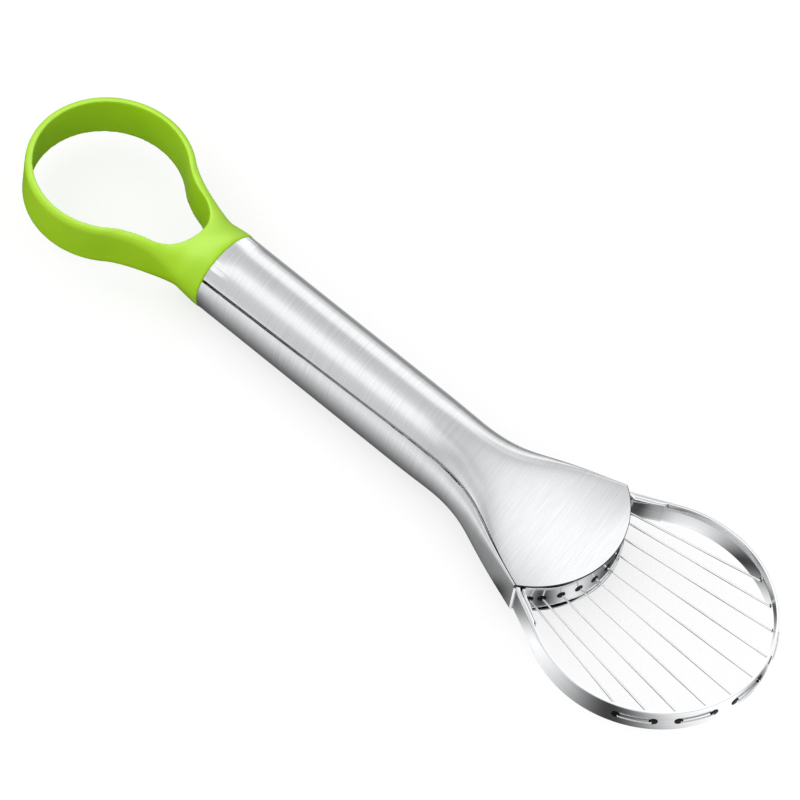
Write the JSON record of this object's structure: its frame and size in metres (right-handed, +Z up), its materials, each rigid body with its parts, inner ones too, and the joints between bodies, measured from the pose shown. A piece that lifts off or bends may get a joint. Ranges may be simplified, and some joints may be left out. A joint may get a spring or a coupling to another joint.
{
  "type": "avocado knife",
  "caption": "Avocado knife: flared hollow steel handle with a moulded hanging loop, and a round strip hoop strung with fanned cutting wires that lift and slice the fruit.",
  "frame": {"origin": "centre of the footprint, on the plane that the round collar rests on", "axes": "+X from the hanging loop to the cutting head, +Y across the tool, +Z up, square to the flat plate over the mouth"},
  "size_m": [0.2372, 0.0624, 0.0223],
  "materials": {
    "lime_plastic": "satin moulded polypropylene, lime green",
    "brushed_shell": "stainless sheet, brushed across the handle",
    "polished_strip": "polished stainless strip",
    "cutting_wire": "bright drawn stainless wire",
    "crimp_sleeve": "plain pressed sleeve",
    "black_bush": "black nylon"
  },
  "bodies": {
    "root": {"hang_loop": "lime_plastic", "handle_top_shell": "brushed_shell", "handle_bottom_shell": "brushed_shell", "hoop_band": "polished_strip", "wire_bridge": "polished_strip", "cutting_wire_1": "cutting_wire", "cutting_wire_2": "cutting_wire", "cutting_wire_3": "cutting_wire", "cutting_wire_4": "cutting_wire", "cutting_wire_5": "cutting_wire", "hoop_bush_01": "black_bush", "hoop_bush_02": "black_bush", "hoop_bush_03": "black_bush", "hoop_bush_04": "black_bush", "hoop_bush_05": "black_bush", "hoop_bush_06": "black_bush", "hoop_bush_07": "black_bush", "hoop_bush_08": "black_bush", "hoop_bush_09": "black_bush", "hoop_bush_10": "black_bush", "bridge_bush_01": "black_bush", "bridge_bush_02": "black_bush", "bridge_bush_03": "black_bush", "bridge_bush_04": "black_bush", "bridge_bush_05": "black_bush", "bridge_bush_06": "black_bush", "bridge_bush_07": "black_bush", "bridge_bush_08": "black_bush", "bridge_bush_09": "black_bush", "bridge_bush_10": "black_bush", "wire_crimp_01": "crimp_sleeve", "wire_crimp_02": "crimp_sleeve", "wire_crimp_03": "crimp_sleeve", "wire_crimp_04": "crimp_sleeve", "wire_crimp_05": "crimp_sleeve", "wire_crimp_06": "crimp_sleeve", "wire_crimp_07": "crimp_sleeve", "wire_crimp_08": "crimp_sleeve", "wire_crimp_09": "crimp_sleeve", "wire_crimp_10": "crimp_sleeve"}
  },
  "joints": []
}
